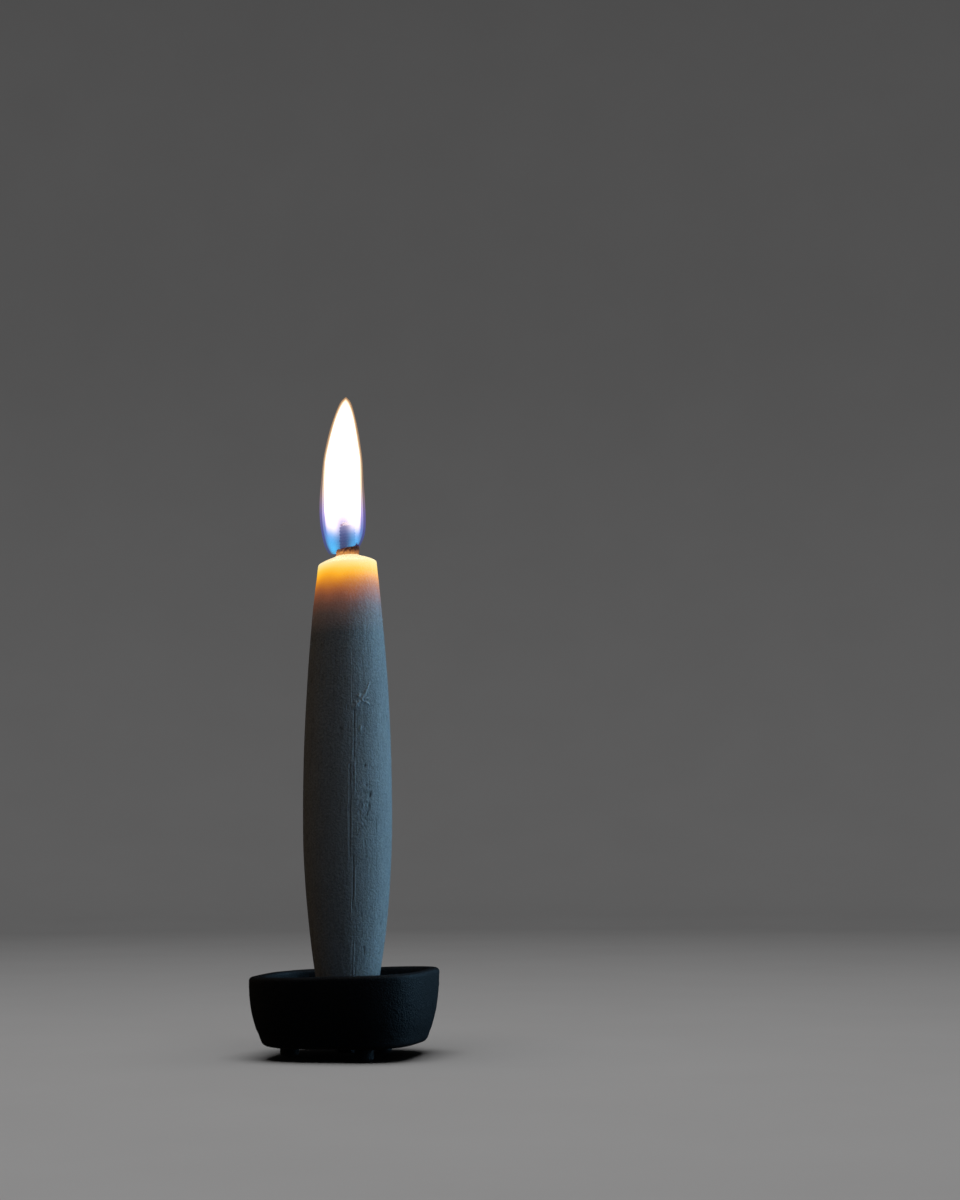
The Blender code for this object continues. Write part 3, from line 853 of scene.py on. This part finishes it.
def cord_grid(angle, height, share, burnt):
    """Rings of points along the cord: it turns round the wick, and where burnt it wavers."""
    line = np.stack([np.cos(angle) * MM, np.sin(angle) * MM, height], -1)
    reach = CORD_TURN_RADIUS + burnt * 0.10 * MM * noise_at(line, 0.9 * MM, 1.3)
    sag = burnt * 0.10 * MM * noise_at(line, 1.2 * MM, 5.9)
    center = np.stack([AXIS_X + reach * np.cos(angle), reach * np.sin(angle), height + sag], -1)
    outward = np.stack([np.cos(angle), np.sin(angle), np.zeros_like(angle)], -1)
    upward = np.array([0.0, 0.0, 1.0])
    swell = CORD_RADIUS * (1 + burnt * 0.22 * noise_at(line, 0.5 * MM, 3.3))
    taper = np.clip(np.minimum(share, 1 - share) * len(share) / 10, 0.15, 1.0)
    around = (math.tau * np.arange(CORD_SIDES) / CORD_SIDES)[None, :, None]
    section = np.cos(around) * outward[:, None] + np.sin(around) * upward
    return center[:, None] + (swell * taper)[:, None, None] * section


def make_cord(material):
    """One length of rush pith wound from the foot of the wick to its burnt top."""
    low = winding_low.z + CORD_RADIUS
    high = WICK_TOP - CORD_RADIUS
    turns = (high - low) / CORD_PITCH
    share = np.linspace(0.0, 1.0, int(turns * CORD_STEPS_PER_TURN))
    height = low + (high - low) * share
    burnt = smoothstep(height, WAX_TOP - 1.0 * MM, WAX_TOP + 1.0 * MM)
    glowing = np.maximum(smoothstep(height, WICK_TOP - 1.2 * MM, WICK_TOP), 0.12 * burnt)
    masks = {"char": np.repeat(burnt[:, None], CORD_SIDES, axis=1),
             "ember_and_painted_glow": np.repeat(glowing[:, None], CORD_SIDES, axis=1)}
    cord = add_grid("wick_cord", cord_grid(math.tau * turns * share, height, share, burnt), material,
                    close_ends=(True, True), masks=masks)
    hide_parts("wick_winding")
    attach(cord, CANDLE)


def make_crust(material):
    """A ragged collar of char on the wax round the foot of the wick."""
    inner = CORD_TURN_RADIUS + CORD_RADIUS * 0.8
    outer = (char_high.x - char_low.x) / 2
    low = WAX_TOP - 0.4 * MM
    high = char_high.z
    profile = [(inner, low), (outer, low), (outer * 1.02, low + 0.5 * (high - low)),
               (outer * 0.93, high - 0.15 * MM), (outer * 0.80, high), (inner, high - 0.3 * MM)]
    profile = resample(np.array(profile + profile[:1]), 41)[:-1]
    points = lathe(profile, 150, (AXIS_X, 0.0))
    normals = grid_normals(points, True)
    ragged = 0.30 * MM * noise_at(points, 0.9 * MM, 1.1) + 0.16 * MM * noise_at(points, 0.35 * MM, 2.7)
    upper = smoothstep(points[..., 2], low + 0.2 * MM, high)
    points = points + normals * ragged[..., None]
    points[..., 2] += upper * 0.8 * MM * noise_at(points, 1.4 * MM, 4.0)
    points[..., 2] += upper * 0.6 * MM * noise_at(points, 0.5 * MM, 9.1)
    points[..., 2] += (points[..., 0] - AXIS_X) * (TOP_SLOPE + 0.18 * upper)
    # painted glow at the crust's foot, where the flame lights it
    ember_and_painted_glow = 1 - smoothstep(points[..., 2], low + 0.1 * MM, low + 1.7 * MM)
    ember_and_painted_glow = np.clip(ember_and_painted_glow + 0.5 * noise_at(points, 0.6 * MM, 6.1) * (ember_and_painted_glow > 0), 0, 1)
    crust = add_grid("char_crust", points, material, wrap_rows=True, masks={"ember_and_painted_glow": ember_and_painted_glow})
    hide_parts("wick_char")
    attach(crust, CANDLE)


# ---------------------------------------------------------------- flame

# Outlines of the flame's three sheets: (radius, height above the foot) in millimetres
CORE_OUTLINE = ((2.9, 0.4), (3.7, 2.6), (4.3, 5.2), (4.5, 8.0), (4.55, 12.8), (4.5, 18.0), (4.3, 23.0),
                (3.65, 27.0), (2.9, 30.8), (2.2, 33.6), (1.5, 35.8), (0.8, 37.3), (0.15, 38.2))
MANTLE_OUTLINE = ((3.3, 0.1), (4.3, 2.2), (4.95, 5.0), (5.15, 8.0), (5.1, 12.8), (4.9, 18.0), (4.6, 23.0),
                  (3.9, 27.2), (3.1, 31.0), (2.4, 33.9), (1.65, 36.1), (0.9, 37.7), (0.15, 38.6))
VEIL_OUTLINE = ((3.8, 0.0), (4.9, 2.2), (5.5, 5.0), (5.75, 8.0), (5.7, 12.8), (5.3, 18.0), (4.9, 23.0),
                (4.2, 27.4), (3.4, 31.2), (2.6, 34.1), (1.85, 36.4), (1.1, 38.0), (0.15, 39.0))
# How solid each sheet is, as (share of the flame's height, alpha). CLEAR is between its tongues
CORE_SOLIDITY = ((0.0, 0.05), (0.06, 0.12), (0.10, 0.45), (0.14, 0.85), (0.18, 1.0), (1.0, 1.0))
CORE_CLEAR = ((0.0, 0.0), (0.08, 0.03), (0.13, 0.10), (0.17, 0.14), (0.205, 0.18), (0.235, 0.34),
              (0.27, 0.64), (0.32, 1.0), (1.0, 1.0))
MANTLE_SOLIDITY = ((0.0, 0.65), (0.08, 0.60), (0.16, 0.40), (0.26, 0.40), (0.5, 0.50), (1.0, 0.50))
MANTLE_CLEAR = ((0.0, 0.09), (0.08, 0.11), (0.16, 0.20), (0.26, 0.40), (0.5, 0.50), (1.0, 0.50))
VEIL_SOLIDITY = ((0.0, 0.14), (0.10, 0.20), (0.26, 0.24), (0.42, 0.14), (0.6, 0.22), (1.0, 0.26))
FLAME_TONGUES = 4


def flame_grid(outline, rows, columns):
    """A sheet of the flame, which leans a little and hangs lower on its left at the foot."""
    profile = curve_through(np.array(outline) * MM, rows)
    profile[:, 1] += FLAME_FOOT
    points = lathe(profile, columns, (AXIS_X, 0.0))
    waver = noise_at(points * (1, 1, 0.5), 9 * MM, 2.0)
    climb = (points[..., 2] - FLAME_FOOT) / FLAME_HEIGHT
    foot = 1 - smoothstep(climb, 0.0, 0.16)
    points[..., 2] += foot * (points[..., 0] - AXIS_X) * 0.25
    points[..., 0] += (points[..., 0] - AXIS_X) * 0.03 * waver
    # Millimetres towards -X: 0.8 at the foot, 1.3 half way up and 0.4 at the tip
    lean = 0.4 + 0.4 * (1 - climb) + 0.85 * np.sin(math.pi * climb) * (1 - 0.3 * climb)
    points[..., 0] -= lean * MM
    points[..., 1] += points[..., 1] * 0.03 * waver
    return points


def add_flame(name, outline, material, solidity, clear):
    """One sheet. Near the wick it parts into tongues, with clearer gas between them."""
    points = flame_grid(outline, 90, 84)
    climb = np.clip((points[..., 2] - FLAME_FOOT) / FLAME_HEIGHT, 0, 1)
    around = math.tau * np.arange(points.shape[1]) / points.shape[1] - math.radians(CAMERA_AZIMUTH)
    tongue = (0.5 - 0.5 * np.cos(FLAME_TONGUES * around)) ** 1.5
    alpha = np.interp(climb, *zip(*solidity)) * tongue + np.interp(climb, *zip(*clear)) * (1 - tongue)
    sheet = add_grid(name, points, material, close_ends=(False, True),
                     masks={"height": climb, "solidity": alpha})
    sheet.visible_shadow = False
    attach(sheet, CANDLE)
    return sheet


def make_flame():
    """White-hot core inside two thin sheets, blue round the wick and peach above."""
    core = flame_material("flame_white", 4.0, [
        (0.00, (0.02, 0.10, 0.20)), (0.06, (0.03, 0.12, 0.22)), (0.10, (0.16, 0.22, 0.30)),
        (0.14, (0.50, 0.42, 0.42)), (0.20, (0.80, 0.62, 0.56)), (0.27, (0.90, 0.80, 0.75)),
        (0.85, (0.90, 0.80, 0.72)), (1.00, (0.80, 0.62, 0.45)),
    ])
    mantle = flame_material("flame_mantle", 1.5, [
        (0.00, (0.08, 0.46, 0.80)), (0.06, (0.10, 0.42, 0.78)), (0.13, (0.20, 0.34, 0.70)),
        (0.24, (0.55, 0.46, 0.80)), (0.42, (0.85, 0.66, 0.45)), (1.00, (0.85, 0.58, 0.36)),
    ])
    veil = flame_material("flame_veil", 1.0, [
        (0.00, (0.02, 0.08, 0.50)), (0.12, (0.07, 0.10, 0.65)), (0.24, (0.26, 0.18, 0.70)),
        (0.36, (0.60, 0.36, 0.42)), (0.50, (0.85, 0.50, 0.26)), (1.00, (0.85, 0.46, 0.20)),
    ])
    core_piece = add_flame("flame_core", CORE_OUTLINE, core, CORE_SOLIDITY, CORE_CLEAR)
    add_flame("flame_mantle", MANTLE_OUTLINE, mantle, MANTLE_SOLIDITY, MANTLE_CLEAR)
    add_flame("flame_veil", VEIL_OUTLINE, veil, VEIL_SOLIDITY, VEIL_SOLIDITY)
    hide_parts("flame")
    return core_piece


# ---------------------------------------------------------------- studio and camera

def view_axes(azimuth):
    angle = math.radians(azimuth)
    away = Vector((-math.sin(angle), math.cos(angle), 0.0))
    right = Vector((math.cos(angle), math.sin(angle), 0.0))
    return away, right


def make_camera():
    away, right = view_axes(CAMERA_AZIMUTH)
    data = bpy.data.cameras.new("camera")
    data.lens = CAMERA_LENS
    camera = bpy.data.objects.new("camera", data)
    camera.location = right * CAMERA_ASIDE - away * CAMERA_DISTANCE + Vector((0, 0, CAMERA_HEIGHT))
    tip = math.radians(CAMERA_TIP)
    look = away * math.cos(tip) + Vector((0, 0, math.sin(tip)))
    roll = Quaternion((0, 0, 1), -math.radians(CAMERA_ROLL))
    camera.rotation_euler = (look.to_track_quat("-Z", "Y") @ roll).to_euler()
    bpy.context.scene.collection.objects.link(camera)
    bpy.context.scene.camera = camera


def make_stage():
    """A pale round floor that curves up into a low wall. It is lit apart from the object."""
    reach, bend, wall = 0.80, 0.45, 1.1
    profile = [(0.02, 0.0), (reach, 0.0)]
    profile += arc((reach, bend), bend, 280, 360)
    profile += [(reach + bend, wall)]
    n = Nodes("studio_floor", roughness=0.8)
    n.set("Specular IOR Level", 0.2)
    tone = n.ramp(n.noise(60 * MM, detail=5), [(0.3, (0.585, 0.575, 0.565)), (0.7, (0.605, 0.595, 0.585))])
    n.link(tone, "Base Color")
    floor = add_grid("studio_floor", lathe(resample(np.array(profile), 80), 96), n.material,
                     close_ends=(True, False))
    floor.location.z = -0.02 * MM
    floor.visible_diffuse = False
    floor.visible_glossy = False
    only_floor = bpy.data.collections.new("only_floor")
    only_floor.objects.link(floor)
    not_floor = bpy.data.collections.new("not_floor")
    not_floor.objects.link(floor)
    not_floor.collection_objects[0].light_linking.link_state = "EXCLUDE"
    return only_floor, not_floor


def add_light(name, azimuth, elevation, distance, size, power, color, lit):
    """A soft square lamp that faces the candle. lit says which objects its light falls on."""
    data = bpy.data.lights.new(name, "AREA")
    data.shape = "SQUARE"
    data.size = size
    data.energy = power
    data.color = color
    away = view_axes(azimuth)[0]
    level = math.radians(elevation)
    target = Vector((0.0, 0.0, 0.07))
    lamp = bpy.data.objects.new(name, data)
    lamp.location = target + (-away * math.cos(level) + Vector((0, 0, math.sin(level)))) * distance
    lamp.rotation_euler = (target - lamp.location).to_track_quat("-Z", "Y").to_euler()
    lamp.visible_camera = False
    lamp.light_linking.receiver_collection = lit
    bpy.context.scene.collection.objects.link(lamp)
    return lamp


def make_flame_light(flame):
    """A small warm lamp in the flame, which moves with the candle."""
    data = bpy.data.lights.new("flame_light", "POINT")
    data.shadow_soft_size = 3.5 * MM
    data.energy = 0.003
    data.color = (1.0, 0.66, 0.30)
    lamp = bpy.data.objects.new("flame_light", data)
    lamp.location = (AXIS_X, 0.0, FLAME_FOOT + 16 * MM)
    lamp.visible_camera = False
    lamp.parent = flame
    bpy.context.scene.collection.objects.link(lamp)


def make_lights(only_floor, not_floor):
    """Cool window light on the right, little from the front, and plain light for the stage."""
    right = CAMERA_AZIMUTH + 90
    add_light("window", right + 14, 14, 0.75, 0.80, 3.2, (0.34, 0.68, 1.0), not_floor)
    add_light("front_right", right - 54, 14, 0.80, 0.55, 0.19, (0.52, 0.74, 1.0), not_floor)
    behind = add_light("behind", right + 100, 8, 0.85, 0.50, 0.7, (0.70, 0.85, 1.0), not_floor)
    behind.visible_glossy = False
    add_light("left_fill", right - 194, 10, 0.80, 0.40, 0.09, (1.0, 0.72, 0.45), not_floor)
    add_light("above", right, 84, 0.90, 0.50, 0.8, (1.0, 0.93, 0.85), not_floor)
    add_light("stage_overhead", CAMERA_AZIMUTH, 80, 1.0, 0.9, 6.0, (0.97, 0.98, 1.0), only_floor)
    world = bpy.data.worlds.new("studio")
    world.use_nodes = True
    background = world.node_tree.nodes["Background"]
    background.inputs["Color"].default_value = (1.0, 0.97, 0.95, 1.0)
    background.inputs["Strength"].default_value = 0.008
    bpy.context.scene.world = world


def main():
    iron = iron_material()
    steel = steel_material()
    make_dish(iron)
    make_feet(iron)
    make_spike(steel)
    make_nut(steel)
    make_wax(wax_material())
    make_tube(paper_material())
    make_cord(cord_material())
    make_crust(crust_material())
    flame = make_flame()
    make_flame_light(flame)
    make_lights(*make_stage())
    make_camera()
    bpy.context.scene.view_settings.view_transform = "Standard"


main()
